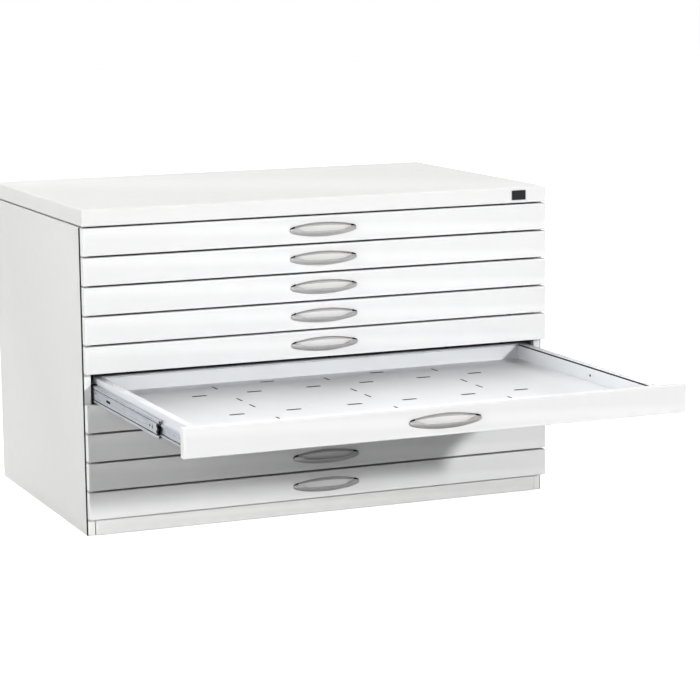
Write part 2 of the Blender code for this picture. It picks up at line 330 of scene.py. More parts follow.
def powder_coat(name, colour, roughness, peel_size, peel_depth):
    """Sprayed and baked paint: orange peel, faint cloudiness and thinner paint on edges."""
    nodes = Finish(name)
    cloud = nodes.noise(4.0, 3.0)
    tone = nodes.blend(nodes.remap(cloud, 0.0, 1.0), shade(colour, 0.985), colour)
    worn = nodes.blend(nodes.edges(0.53, 0.62), tone, shade(colour, 0.95))
    peel = nodes.noise(1.0 / peel_size, 2.0)
    grit = nodes.noise(4.0 / peel_size, 1.0)
    base = nodes.bump(peel, peel_depth, 0.5)
    normal = nodes.bump(grit, peel_depth / 3, 0.35, base)
    gloss = nodes.remap(nodes.noise(30.0, 4.0), roughness - 0.05, roughness + 0.05)
    nodes.set(nodes.shader, {
        "Base Color": worn, "Roughness": gloss, "Normal": normal, "Specular IOR Level": 0.45,
    })
    return nodes.material


def zinc_plate(name):
    """Rolled strip with bright zinc: a blue cast, drawing lines along the rail, faint spangle."""
    nodes = Finish(name)
    lines = nodes.noise(1.0, 3.0, nodes.stretched((1400.0, 9.0, 1400.0)))
    spangle_inputs = {"Vector": nodes.place, "Scale": 260.0}
    spangle = nodes.add("ShaderNodeTexVoronoi", spangle_inputs).outputs["Distance"]
    tone = nodes.blend(nodes.remap(lines, 0.0, 1.0), (0.66, 0.71, 0.78), (0.86, 0.89, 0.94))
    cast = nodes.blend(nodes.remap(spangle, 0.0, 0.35, 0.1, 0.9), tone, (0.70, 0.76, 0.88))
    worn = nodes.blend(nodes.edges(0.54, 0.66), cast, (0.94, 0.95, 0.97))
    nodes.set(nodes.shader, {
        "Base Color": worn,
        "Metallic": 1.0,
        "Roughness": nodes.remap(lines, 0.24, 0.40),
        "Normal": nodes.bump(lines, 0.00008, 0.30),
    })
    return nodes.material


def satin_silver(name):
    """Silver lacquer on a moulded grip: metal flake and soft brushing along its length."""
    nodes = Finish(name)
    brushed = nodes.noise(1.0, 3.0, nodes.stretched((22.0, 1500.0, 1500.0)))
    flake = nodes.noise(5200.0, 1.0)
    tone = nodes.blend(nodes.remap(brushed, 0.0, 1.0), (0.55, 0.54, 0.535), (0.63, 0.62, 0.615))
    sparkle = nodes.blend(nodes.remap(flake, 0.0, 0.35), tone, (0.68, 0.67, 0.665))
    base = nodes.bump(brushed, 0.00005, 0.25)
    nodes.set(nodes.shader, {
        "Base Color": sparkle,
        "Metallic": 0.40,
        "Roughness": nodes.remap(brushed, 0.34, 0.46),
        "Normal": nodes.bump(flake, 0.00003, 0.20, base),
    })
    return nodes.material


def ball_steel(name):
    """Polished bearing steel with a light film of grease."""
    nodes = Finish(name)
    film = nodes.noise(700.0, 2.0)
    nodes.set(nodes.shader, {
        "Base Color": nodes.blend(film, (0.72, 0.73, 0.75), (0.90, 0.90, 0.91)),
        "Metallic": 1.0,
        "Roughness": nodes.remap(film, 0.10, 0.24),
    })
    return nodes.material


def moulded_plastic(name, colour):
    """Moulded plastic with a fine spark-eroded grain."""
    nodes = Finish(name)
    grain = nodes.noise(2400.0, 3.0)
    nodes.set(nodes.shader, {
        "Base Color": nodes.blend(grain, shade(colour, 0.75), shade(colour, 1.3)),
        "Roughness": nodes.remap(grain, 0.42, 0.58),
        "Normal": nodes.bump(grain, 0.00008, 0.35),
    })
    return nodes.material


def studio_floor(name):
    """A pale floor that is almost plain, a little brighter to the camera than it is lit."""
    nodes = Finish(name)
    cloud = nodes.noise(1.5, 2.0)
    seen = nodes.add("ShaderNodeLightPath").outputs["Is Camera Ray"]
    nodes.set(nodes.shader, {
        "Base Color": nodes.blend(cloud, (0.53, 0.53, 0.53), (0.56, 0.56, 0.56)),
        "Roughness": nodes.remap(cloud, 0.68, 0.76),
        "Specular IOR Level": 0.2,
        "Emission Color": (1.0, 1.0, 1.0, 1.0),
        "Emission Strength": nodes.math("MULTIPLY", seen, FLOOR_GLOW),
    })
    return nodes.material


def make_materials():
    """Every finish on the cabinet."""
    return {
        "carcass": powder_coat("carcass_powder_coat", (0.80, 0.80, 0.795), 0.46, 0.0016, 0.00010),
        "front": powder_coat("front_powder_coat", (0.83, 0.83, 0.83), 0.42, 0.0016, 0.00008),
        "tray": powder_coat("tray_powder_coat", (0.79, 0.80, 0.815), 0.45, 0.0014, 0.00008),
        "rail": zinc_plate("zinc_strip"),
        "handle": satin_silver("satin_silver_lacquer"),
        "ball": ball_steel("bearing_steel"),
        # Black plastic of the stops and rail caps; the same near-black finish is painted as shade
        # into the rails' holes, the tray's slots, recess and wall holes, and the handle's ends
        "plastic_and_shade": moulded_plastic("black_plastic_and_painted_shade", (0.016, 0.016, 0.018)),
        # Raceways: dark grease, with painted shade for the gap line along them
        "grease_and_shade": moulded_plastic("raceway_grease_and_painted_shade", (0.045, 0.047, 0.052)),
        # Painted shade: near-black finish on the side walls' front bends, for the shadow in the gap
        # behind the fronts
        "bend_shade": moulded_plastic("bend_painted_shade", (0.020, 0.020, 0.022)),
        "badge": moulded_plastic("badge_plastic", (0.022, 0.022, 0.024)),
        "badge_frame": moulded_plastic("badge_frame_plastic", (0.62, 0.62, 0.62)),
    }


# ---------------------------------------------------------------- mesh work


def fillet(points, radius):
    """Round the corners of an open path of (across, up) points."""
    rounded = [Vector(points[0])]
    for before, corner, after in zip(points, points[1:], points[2:]):
        corner = Vector(corner)
        back = Vector(before) - corner
        ahead = Vector(after) - corner
        cut = min(radius, back.length * FOLD_SHARE, ahead.length * FOLD_SHARE)
        start = corner + back.normalized() * cut
        end = corner + ahead.normalized() * cut
        for step in range(FOLD_STEPS + 1):
            t = step / FOLD_STEPS
            rounded.append(start * (1 - t) ** 2 + corner * 2 * t * (1 - t) + end * t * t)
    rounded.append(Vector(points[-1]))
    return rounded


def shifted(path, distance):
    """Shift an open path sideways, to its left for a positive distance."""
    moved = []
    for index, here in enumerate(path):
        before = path[max(index - 1, 0)]
        after = path[min(index + 1, len(path) - 1)]
        arriving = (here - before if index else after - here).normalized()
        leaving = (after - here if index < len(path) - 1 else here - before).normalized()
        left = Vector((-arriving.y, arriving.x))
        normal = (left + Vector((-leaving.y, leaving.x))).normalized()
        moved.append(here + normal * (distance / max(normal.dot(left), 0.5)))
    return moved


def sheet_outline(points, radius, thickness):
    """Outline of a bent sheet whose middle follows an open path."""
    path = fillet(points, radius)
    return shifted(path, thickness / 2) + list(reversed(shifted(path, -thickness / 2)))


def add_loops(shape, loops, material=FIRST, closed=False):
    """Skin loops of 3-D points one after another, then join the ends up or cap them."""
    rows = [[shape.verts.new(point) for point in loop] for loop in loops]
    pairs = list(zip(rows, rows[1:]))
    if closed:
        pairs.append((rows[-1], rows[0]))
    made = []
    for row, following in pairs:
        for index in range(len(row)):
            other = (index + 1) % len(row)
            quad = (row[index], row[other], following[other], following[index])
            made.append(shape.faces.new(quad))
    if not closed:
        made.append(shape.faces.new(rows[0]))
        made.append(shape.faces.new(list(reversed(rows[-1]))))
    for face in made:
        face.material_index = material


def add_extrusion(shape, outline, low, high, to_point, material=FIRST):
    """Run an outline of (across, up) points from low to high."""
    loops = [[to_point(point[0], point[1], along) for point in outline] for along in (low, high)]
    add_loops(shape, loops, material)


def rectangle_loop(rectangle, margins, depth, facing, offset):
    """A rectangle with rounded corners, set in by a margin on each side."""
    across, upward, outward = (Vector(direction) for direction in FACINGS[facing])
    left, right = rectangle[0] + margins[0], rectangle[1] - margins[1]
    low, high = rectangle[2] + margins[2], rectangle[3] - margins[3]
    radius = max(CORNER_RADIUS - min(margins), CORNER_RADIUS / 4)
    corners = (
        (left + radius, low + radius, 180), (right - radius, low + radius, 270),
        (right - radius, high - radius, 0), (left + radius, high - radius, 90),
    )
    loop = []
    for u, v, start in corners:
        for step in range(CORNER_STEPS + 1):
            angle = math.radians(start + 90 * step / CORNER_STEPS)
            place = across * (u + radius * math.cos(angle))
            place += upward * (v + radius * math.sin(angle))
            loop.append(place + outward * (offset - depth))
    return loop


def add_pan(shape, facing, rectangle, offset, depth, lips, sheet=SHEET, radius=FOLD_RADIUS):
    """A face folded back on its four sides, with a lip turned in along each of them."""
    half = sheet / 2
    outlines = []
    for lip in lips:
        path = [
            (FACE_STRIP, half), (half, half), (half, depth - half), (max(lip, sheet), depth - half),
        ]
        outlines.append(sheet_outline(path, radius, sheet))
    count = len(outlines[0])
    outer, inner = range(count // 2, count), range(count // 2)
    order = list(reversed(outer)) + list(reversed(inner))
    loops = [
        rectangle_loop(
            rectangle, [outline[i].x for outline in outlines], outlines[0][i].y, facing, offset
        )
        for i in order
    ]
    add_loops(shape, loops)


def add_wall_frame(shape, rectangle, side_outline, end_outline):
    """A bent sheet that runs round all four sides of a tray, as (margin, height) outlines."""
    loops = [
        rectangle_loop(rectangle, (side.x, side.x, end.x, end.x), -side.y, "up", 0.0)
        for side, end in zip(side_outline, end_outline)
    ]
    add_loops(shape, loops, closed=True)


def rounded_slot(x, y, width, height):
    """Outline of a slot with round ends, or of a circle if width and height are equal."""
    radius = min(width, height) / 2
    reach_x, reach_y = width / 2 - radius, height / 2 - radius
    points = []
    for quarter, (sx, sy) in enumerate(((1, 1), (-1, 1), (-1, -1), (1, -1))):
        for step in range(ROUND_END_STEPS + 1):
            angle = math.pi / 2 * (quarter + step / ROUND_END_STEPS)
            point = (
                x + sx * reach_x + radius * math.cos(angle),
                y + sy * reach_y + radius * math.sin(angle),
            )
            if not points or math.dist(point, points[-1]) > MERGE_DISTANCE:
                points.append(point)
    if math.dist(points[0], points[-1]) < MERGE_DISTANCE:
        points.pop()
    return points


def rounded_rectangle(half_x, half_y, radius):
    """Outline of a rectangle with round corners, about its middle."""
    points = []
    for quarter, (sx, sy) in enumerate(((1, 1), (-1, 1), (-1, -1), (1, -1))):
        for step in range(ROUND_END_STEPS + 1):
            angle = math.pi / 2 * (quarter + step / ROUND_END_STEPS)
            points.append((
                sx * (half_x - radius) + radius * math.cos(angle),
                sy * (half_y - radius) + radius * math.sin(angle),
            ))
    return points


def add_plate(shape, outline, holes, low, high, to_point, material=FIRST):
    """A flat plate with holes through it."""
    points, loops = [], []
    for loop in [outline, *holes]:
        loops.append(list(range(len(points), len(points) + len(loop))))
        points += [Vector(point) for point in loop]
    flat_points, _, flat_faces, *_ = geometry.delaunay_2d_cdt(
        points, [], loops, TRIANGLES_WITHOUT_HOLES, MERGE_DISTANCE
    )
    layers = [
        [shape.verts.new(to_point(p.x, p.y, level)) for p in flat_points]
        for level in (low, high)
    ]
    made = [shape.faces.new([layers[0][i] for i in reversed(face)]) for face in flat_faces]
    made += [shape.faces.new([layers[1][i] for i in face]) for face in flat_faces]
    used = {}
    for face in flat_faces:
        for start, end in zip(face, [*face[1:], face[0]]):
            used[(start, end)] = True
    for start, end in used:
        if (end, start) not in used:
            side = (layers[0][start], layers[0][end], layers[1][end], layers[1][start])
            made.append(shape.faces.new(side))
    for face in made:
        face.material_index = material


def paint_faces(shape, chosen, material):
    """Give a material to the faces whose middle is chosen."""
    for face in shape.faces:
        if chosen(face.calc_center_median()):
            face.material_index = material


def add_ball(shape, centre, radius, material):
    """One bearing ball."""
    place = Matrix.Translation(centre)
    made = bmesh.ops.create_icosphere(shape, subdivisions=2, radius=radius, matrix=place)
    for vertex in made["verts"]:
        for face in vertex.link_faces:
            face.material_index = material


def finish_mesh(name, shape, materials):
    """Turn a bmesh into a mesh with faces outwards and folds that shade softly."""
    bmesh.ops.recalc_face_normals(shape, faces=shape.faces)
    mesh = bpy.data.meshes.new(name)
    shape.to_mesh(mesh)
    shape.free()
    for material in materials:
        mesh.materials.append(material)
    mesh.shade_smooth()
    mesh.set_sharp_from_angle(angle=SMOOTH_ANGLE)
    return mesh


def place_piece(name, mesh, body, slot, nodes=(), location=(0, 0, 0)):
    """Show a mesh as a piece that rides on a body and stands for the given CAD nodes."""
    piece = bpy.data.objects.new(name, mesh)
    piece.location = location
    bpy.context.scene.collection.objects.link(piece)
    normals = piece.modifiers.new("flat faces stay flat", "WEIGHTED_NORMAL")
    normals.keep_sharp = True
    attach(piece, body)
    if nodes:
        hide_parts(*nodes)


# ---------------------------------------------------------------- carcass


def drawer_labels():
    """The drawers' numbers, as the CAD nodes have them."""
    front_nodes = [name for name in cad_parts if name.startswith("drawer_front_")]
    return sorted(name.removeprefix("drawer_front_") for name in front_nodes)


def panel_rectangle(node, facing):
    """A CAD panel's rectangle, outside and depth for the way it faces."""
    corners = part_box(node)
    measured = []
    for direction in FACINGS[facing]:
        spans = sorted(corner.dot(Vector(direction)) for corner in corners)
        measured.append(spans)
    (left, right), (low, high), (inside, outside) = measured
    return (left, right, low, high), outside, outside - inside


def paint_bend_shade(shape, edge, offset):
    """Paint shade on a wall's front bend, which stands in the gap behind the drawer fronts: a
    near-black finish for the shadow in that gap.
    """

    def in_bend_shade(centre):
        return centre.y < edge + FOLD_RADIUS and abs(centre.x) > offset - FOLD_RADIUS

    paint_faces(shape, in_bend_shade, SECOND)


def make_panel(node, facing, materials, setback=0.0):
    """Build one folded panel of the carcass, in place of its CAD node.

    A panel with a setback keeps that far behind its first edge, and its bend there is painted
    near-black as the gap's shadow.
    """
    (left, right, low, high), offset, depth = panel_rectangle(node, facing)
    shape = bmesh.new()
    edge = left + setback
    add_pan(shape, facing, (edge, right, low, high), offset, depth, [PANEL_LIP] * 4)
    panel_finishes = [materials["carcass"]]
    if setback:
        # Painted shade on the front bend, for the gap's shadow
        paint_bend_shade(shape, edge, offset)
        panel_finishes.append(materials["bend_shade"])
    mesh = finish_mesh(node, shape, panel_finishes)
    place_piece(f"{node}_sheet", mesh, "carcass", "carcass_paint", [node])


def make_carcass(materials):
    """Cover, walls, back, base and plinth, with a shadow gap between walls and drawer fronts."""
    make_panel("top_cover", "up", materials)
    make_panel("side_panel_left", "left", materials, SHADOW_GAP)
    make_panel("side_panel_right", "right", materials, SHADOW_GAP)
    make_panel("back_panel", "back", materials)
    make_panel("base_panel", "down", materials)
    make_panel("plinth_panel", "front", materials)
    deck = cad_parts["top_deck"]
    deck.data.materials.clear()
    deck.data.materials.append(materials["carcass"])


def make_badge(materials):
    """A plain plate with a thin raised frame and nothing printed on it."""
    low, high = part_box("badge_plate")
    centre = (low + high) / 2
    half_x, half_z = (high.x - low.x) / 2, (high.z - low.z) / 2
    rim = half_z * BADGE_FRAME_SHARE

    def to_point(across, up, out):
        return Vector((centre.x + across, high.y - out, centre.z + up))

    shape = bmesh.new()
    thickness = high.y - low.y
    corner = half_z * BADGE_CORNER_SHARE
    outline = rounded_rectangle(half_x, half_z, corner)
    field = rounded_rectangle(half_x - rim, half_z - rim, corner - rim / 2)
    add_plate(shape, outline, [field], 0.0, thickness, to_point, SECOND)
    add_plate(shape, field, [], 0.0, thickness * BADGE_FIELD_SHARE, to_point)
    mesh = finish_mesh("badge", shape, [materials["badge"], materials["badge_frame"]])
    place_piece("badge_plain", mesh, "carcass", "badge_grey", ["badge_plate"])


# ---------------------------------------------------------------- rails


def rail_centre(side, label):
    """Height of the middle of a drawer's rails."""
    low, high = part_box(f"middle_rail_{side}_{label}")
    return (low.z + high.z) / 2


def mirrored_path(upper):
    """A path above the rail's centre line, carried on below it."""
    return upper + [(across, -up) for across, up in reversed(upper)]


def outer_rail_outline(width, thickness):
    """Section of the rail in the carcass: a channel with turned-in lips."""
    edge, back = RAIL_SHEET / 2, width - RAIL_SHEET / 2
    upper = [
        (edge, OUTER_HALF - OUTER_LIP), (edge, OUTER_HALF), (back, OUTER_HALF),
        (back, OUTER_BACK_EDGE), (back - OUTER_HOOK, OUTER_HOOK_EDGE),
    ]
    return sheet_outline(mirrored_path(upper), RAIL_FOLD_RADIUS, thickness)


def upright_outline(place, web, reach):
    """Plan of an upright: a channel about its place along the carcass, open to the side wall."""
    front = place - UPRIGHT_WIDTH / 2 + SHEET / 2
    rear = place + UPRIGHT_WIDTH / 2 - SHEET / 2
    path = [(reach, front), (web, front), (web, rear), (reach, rear)]
    return sheet_outline(path, FOLD_RADIUS, SHEET)


def make_rack(side, side_name, materials):
    """The outer rails on one side of the carcass, and the uprights that carry them."""
    node = f"rail_rack_{side_name}"
    low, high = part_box(node)
    near, far = sorted((abs(low.x), abs(high.x)))
    middle_x = max(abs(corner.x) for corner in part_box(f"middle_rail_{side_name}_01"))
    width = middle_x + OUTER_REACH - near
    shape = bmesh.new()

    def section_point(across, up, along):
        return Vector((side * (near + across), along, up))

    rail = outer_rail_outline(width, RAIL_SHEET)
    cap = outer_rail_outline(width, RAIL_SHEET + RAIL_CAP_WALL * 2)
    cap_end = low.y + RAIL_CAP_LENGTH
    for label in drawer_labels():
        centre = rail_centre(side_name, label)
        rail_here = [(point.x, point.y + centre) for point in rail]
        cap_here = [(point.x, point.y + centre) for point in cap]
        add_extrusion(shape, rail_here, cap_end, high.y, section_point)
        add_extrusion(shape, cap_here, low.y, cap_end, section_point, SECOND)

    def upright_point(across, along, up):
        return Vector((side * (near + across), along, up))

    for place in (-UPRIGHT_SPREAD, 0.0, UPRIGHT_SPREAD):
        outline = upright_outline(place, width + SHEET / 2, far - near)
        add_extrusion(shape, outline, low.z, high.z, upright_point)
    mesh = finish_mesh(node, shape, [materials["rail"], materials["plastic_and_shade"]])
    place_piece(f"{node}_set", mesh, "carcass", "zinc_plate", [node])


def add_stop(shape, web, web_point):
    """The zig-zag plastic stop in the rail's front end, with a hook above and one below."""
    reach = MIDDLE_WEB_HALF + RACEWAY_GAP
    step = 2 * reach / STOP_TEETH
    front, back = [], []
    for tooth in range(STOP_TEETH + 1):
        up = -reach + tooth * step
        swing = STOP_SWING if tooth % 2 else 0.0
        front.append((swing, up))
        back.append((STOP_LENGTH + swing, up))
    outline = front + list(reversed(back))
    add_plate(shape, outline, [], web, web + STOP_THICKNESS, web_point, SECOND)


def middle_edge_path(half, web, gap_top):
    """Section of a middle rail's upper bend, from its inner edge round the raceway to its web."""
    lobe = web + MIDDLE_LOBE
    groove_start, groove_end = MIDDLE_GROOVE
    groove_floor = half - MIDDLE_GROOVE_DEPTH
    return [
        (MIDDLE_EDGE, half - MIDDLE_LIP), (MIDDLE_EDGE, half), (groove_start, half),
        (groove_start + MIDDLE_GROOVE_SLOPE, groove_floor),
        (groove_end - MIDDLE_GROOVE_SLOPE, groove_floor),
        (groove_end, half), (lobe, half), (lobe, gap_top),
        (lobe - RACEWAY_DEPTH, gap_top), (lobe - RACEWAY_DEPTH, MIDDLE_WEB_HALF),
        (web, MIDDLE_WEB_HALF),
    ]


def add_middle_web(shape, length, web, web_point):
    """The web of a middle rail, with holes through it backed by plates painted near-black as shade,
    and two pressed ribs.
    """
    top = MIDDLE_WEB_HALF + MIDDLE_WEB_TUCK
    outline = [(STOP_LENGTH, -top), (length, -top), (length, top), (STOP_LENGTH, top)]
    holes = [
        rounded_slot(MIDDLE_HOLE_PLACE, 0.0, MIDDLE_HOLE, MIDDLE_HOLE),
        rounded_slot(MIDDLE_NOTCH_PLACE, 0.0, *MIDDLE_NOTCH),
        rounded_slot(length / 2, 0.0, MIDDLE_SLOT_LENGTH, MIDDLE_HOLE),
        rounded_slot(length - MIDDLE_REAR_HOLE_PLACE, 0.0, MIDDLE_HOLE, MIDDLE_HOLE),
    ]
    back, front = web - RAIL_SHEET / 2, web + RAIL_SHEET / 2
    add_plate(shape, outline, holes, back, front, web_point)
    # Painted shade: a near-black plate behind each hole stands for the dark seen through it
    for hole in holes:
        add_plate(shape, hole, [], back, web + RAIL_SHEET / 4, web_point, SECOND)
    for height in (-RIB_PLACE, RIB_PLACE):
        rib = rounded_slot(length / 2 + RIB_FORWARD, height, length - RIB_SHORTER, RIB_WIDTH)
        add_plate(shape, rib, [], web, front + RIB_RISE, web_point)


def middle_rail_mesh(side, materials):
    """A middle rail with its bent edges, raceways darkened for grease and painted shade, web and
    plastic stop.
    """
    low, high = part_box("middle_rail_left_01")
    near, far = sorted((abs(low.x), abs(high.x)))
    length = high.y - low.y
    half = (high.z - low.z) / 2 - RAIL_SHEET / 2
    web = far - near - RAIL_SHEET / 2
    gap_top = MIDDLE_WEB_HALF + RACEWAY_GAP
    shape = bmesh.new()

    def section_point(across, up, along):
        return Vector((side * (near + across), along, up))

    def web_point(along, up, across):
        return Vector((side * (near + across), along, up))

    for way in (1, -1):
        path = [(across, way * up) for across, up in middle_edge_path(half, web, gap_top)]
        outline = sheet_outline(path, RAIL_SHEET / 4, RAIL_SHEET / 2)
        add_extrusion(shape, outline, 0.0, length, section_point)

    def in_raceway(centre):
        outside = abs(centre.x) > near + web - RACEWAY_DEPTH
        return outside and MIDDLE_WEB_HALF < abs(centre.z) < gap_top

    # Raceways get the near-black finish: grease in them, and painted shade for the dark gap line
    paint_faces(shape, in_raceway, THIRD)
    add_middle_web(shape, length, web, web_point)
    add_stop(shape, web, web_point)
    rail_finishes = [materials["rail"], materials["plastic_and_shade"], materials["grease_and_shade"]]
    return finish_mesh("middle_rail", shape, rail_finishes)


def cage_mesh(materials):
    """Ball cages above and below both middle rails, which show when a drawer is out."""
    low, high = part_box("middle_rail_left_01")
    near = min(abs(low.x), abs(high.x))
    half = (high.z - low.z) / 2
    centre = near + CAGE_WIDTH / 2 + CAGE_SIDE_GAP
    shape = bmesh.new()
    for side in (-1, 1):
        for way in (-1, 1):
            height = way * (half + CAGE_LIFT)

            def to_point(along, across, up):
                return Vector((side * (centre + across), CAGE_START + along, height + up))

            outline = rounded_slot(CAGE_LENGTH / 2, 0.0, CAGE_LENGTH, CAGE_WIDTH)
            add_plate(shape, outline, [], -CAGE_SHEET / 2, CAGE_SHEET / 2, to_point)
            for index in range(BALL_COUNT):
                along = CAGE_LENGTH * (index + 0.5) / BALL_COUNT
                place = to_point(along, 0.0, -way * BALL_RADIUS)
                add_ball(shape, place, BALL_RADIUS, SECOND)
    return finish_mesh("ball_cages", shape, [materials["rail"], materials["ball"]])


def inner_rail_mesh(materials):
    """Both inner rails of a tray: channels with raceways and a stiffening bead."""
    _, tray_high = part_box("tray_01")
    front_low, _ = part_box("drawer_front_01")
    reach = INNER_RAIL_REACH
    near = tray_high.x - reach - RAIL_SHEET / 2 - INNER_RAIL_GAP
    centre = rail_centre("left", "01") - front_low.z
    half = INNER_RAIL_HALF
    bead, web = half - INNER_RAIL_BEAD, INNER_RAIL_WEB
    groove_start, groove_end = INNER_GROOVE
    groove_floor, web_edge = half - INNER_GROOVE_DEPTH, bead - INNER_GROOVE_DEPTH
    upper = [
        (0.0, bead), (0.0, half), (groove_start, half),
        (groove_start + INNER_GROOVE_SLOPE, groove_floor),
        (groove_end - INNER_GROOVE_SLOPE, groove_floor),
        (groove_end, half), (reach, half), (reach, bead),
        (web - RACEWAY_DEPTH, bead), (web - RACEWAY_DEPTH, web_edge), (web, web_edge),
    ]
    shape = bmesh.new()
    for side in (-1, 1):

        def section_point(across, up, along):
            return Vector((side * (near + across), along, up + centre))

        outline = sheet_outline(mirrored_path(upper), RAIL_SHEET / 4, RAIL_SHEET / 2)
        end = INNER_RAIL_START + INNER_RAIL_LENGTH
        add_extrusion(shape, outline, INNER_RAIL_START, end, section_point)

    def in_raceway(place):
        height = abs(place.z - centre)
        return web_edge < height < bead and abs(place.x) < near + web

    # Raceways get the near-black finish: grease in them, and painted shade for the dark gap line
    paint_faces(shape, in_raceway, SECOND)
    return finish_mesh("inner_rails", shape, [materials["rail"], materials["grease_and_shade"]])


# ---------------------------------------------------------------- drawers


def drawer_front_mesh(materials):
    """A folded front, measured from its own lower front edge."""
    low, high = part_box("drawer_front_01")
    _, tray_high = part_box("tray_01")
    height, depth = high.z - low.z, high.y - low.y
    side_lip = high.x - tray_high.x + TRAY_SIDE_RIM
    top_lip = high.z - tray_high.z + PANEL_LIP
    shape = bmesh.new()
    rectangle = (low.x, high.x, FRONT_TRIM, height - FRONT_TRIM)
    lips = [side_lip, side_lip, PANEL_LIP, top_lip]
    add_pan(shape, "front", rectangle, 0.0, depth, lips, radius=FRONT_FOLD_RADIUS)
    return finish_mesh("drawer_front", shape, [materials["front"]])


def tray_wall_path(rim, floor, top, skirt):
    """Path of a tray wall's sheet: up from the floor, in and out, over the rim, down outside."""
    half = TRAY_SHEET / 2
    inner = rim - half
    back = inner - STRIP_DEPTH
    strip_top = top - STRIP_HEM
    crease = rim / 2
    return [
        (inner, floor), (inner, strip_top - STRIP_HEIGHT), (back, strip_top - STRIP_HEIGHT),
        (back, strip_top), (inner, strip_top), (inner, top), (crease + RIM_CREASE, top),
        (crease, top - RIM_CREASE), (crease - RIM_CREASE, top), (half, top), (half, skirt),
    ]


def slot_outlines():
    """The slots pressed through a tray's floor for its dividers."""
    slots = []
    for column in (-1, 0, 1):
        x = column * SLOT_COLUMN_SPACING
        for row in range(SLOT_ROWS):
            y = SLOT_FIRST_ROW + row * SLOT_ROW_STEP
            if row % SLOT_CROSS_EVERY == 0:
                for way in (-1, 1):
                    cross_x = x + way * SLOT_CROSS_OFFSET
                    slots.append(rounded_slot(cross_x, y, SLOT_LENGTH, SLOT_CROSS_WIDTH))
            else:
                slots.append(rounded_slot(x, y, SLOT_DEPTH_WIDTH, SLOT_LENGTH))
    for way in (-1, 1):
        x = way * SLOT_COLUMN_SPACING / 2
        slots.append(rounded_slot(x, SLOT_REAR_ROW, SLOT_LENGTH, SLOT_CROSS_WIDTH))
    return slots


def floor_point(across, along, up):
    """A tray's own directions, which are the world's."""
    return Vector((across, along, up))


def add_tray_floor(shape, side_x, start, end):
    """The floor between a tray's walls, with a near-black plate sunk in each of its slots as
    painted shade.
    """
    inner_x = side_x - TRAY_SIDE_RIM + FLOOR_TUCK
    front, rear = start + TRAY_END_RIM - FLOOR_TUCK, end - TRAY_END_RIM + FLOOR_TUCK
    floor = [(-inner_x, front), (inner_x, front), (inner_x, rear), (-inner_x, rear)]
    slots = slot_outlines()
    add_plate(shape, floor, slots, TRAY_FLOOR, TRAY_FLOOR + TRAY_SHEET, floor_point)
    slot_shade_top = TRAY_FLOOR + TRAY_SHEET - SLOT_SHADE_RECESS
    # Painted shade: each slot is filled by a near-black plate for the dark seen through it
    for slot in slots:
        add_plate(shape, slot, [], TRAY_FLOOR, slot_shade_top, floor_point, SECOND)


def tray_mesh(materials):
    """A tray, measured from its own drawer's lower front edge."""
    low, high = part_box("tray_01")
    front_low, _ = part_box("drawer_front_01")
    side_x = high.x - TRAY_SIDE_CLEARANCE
    start, end = low.y - front_low.y, high.y - front_low.y
    skirt, top = low.z - front_low.z, high.z - front_low.z
    rectangle = (-side_x, side_x, start, end)
    half = TRAY_SHEET / 2
    outlines = [
        sheet_outline(
            tray_wall_path(rim, TRAY_FLOOR, top - half, skirt), TRAY_FOLD_RADIUS, TRAY_SHEET
        )
        for rim in (TRAY_SIDE_RIM, TRAY_END_RIM)
    ]
    shape = bmesh.new()
    add_wall_frame(shape, rectangle, *outlines)
    strip_top = top - half - STRIP_HEM
    strip_start = side_x - TRAY_SIDE_RIM - TRAY_SHEET

    def in_strip(centre):
        beside = strip_start < abs(centre.x) < strip_start + STRIP_DEPTH + TRAY_SHEET * 2
        return beside and strip_top - STRIP_HEIGHT < centre.z < strip_top

    # Painted shade: the recess under each side rim gets the near-black finish, for the shadow in it
    paint_faces(shape, in_strip, SECOND)
    add_tray_floor(shape, side_x, start, end)
    for side in (-1, 1):

        def hole_shade_point(along, up, inward):
            return Vector((side * (side_x - TRAY_SIDE_RIM - inward), along, up))

        # Painted shade: a near-black disc stands for the dark inside the wall's hole
        hole_shade = rounded_slot(WALL_HOLE_SHADE_PLACE, WALL_HOLE_SHADE_HEIGHT, WALL_HOLE_SHADE_RADIUS * 2, WALL_HOLE_SHADE_RADIUS * 2)
        add_plate(shape, hole_shade, [], -half, half, hole_shade_point, SECOND)
    return finish_mesh("tray", shape, [materials["tray"], materials["plastic_and_shade"]])


def eased(value, start, end):
    """0 before start, 1 after end, smooth between."""
    t = min(max((value - start) / (end - start), 0.0), 1.0)
    return t * t * (3 - 2 * t)


def lip_section(height, reach, lip_angle):
    """Section of the curved lip, as (out, up) points from the drawer's face."""
    bottom = -math.pi / 2
    steps = [index / (HANDLE_CURVE_POINTS - 1) for index in range(HANDLE_CURVE_POINTS)]
    wall = min(HANDLE_WALL, height * HANDLE_WALL_LIMIT)
    inner_height, inner_reach = height - wall, reach - wall
    angles = [bottom + step * (lip_angle - bottom) for step in steps]
    outside = [(reach * math.cos(angle), height * math.sin(angle)) for angle in angles]
    inside = [
        (inner_reach * math.cos(angle), inner_height * math.sin(angle))
        for angle in reversed(angles)
    ]
    return outside + inside


def bar_section(height, reach):
    """Section of the upper rim: it stands out at the top and is hollowed down to the face."""
    out = min(HANDLE_BAR_REACH, reach * HANDLE_BAR_LIMIT)
    thick = height * 2 * HANDLE_BAR_SHARE
    points = [(0.0, height)]
    for index in range(HANDLE_CURVE_POINTS):
        angle = math.pi / 2 * index / (HANDLE_CURVE_POINTS - 1)
        points.append((
            out * (1 - math.sin(angle)), height - thick * (1 - math.cos(angle)),
        ))
    return points


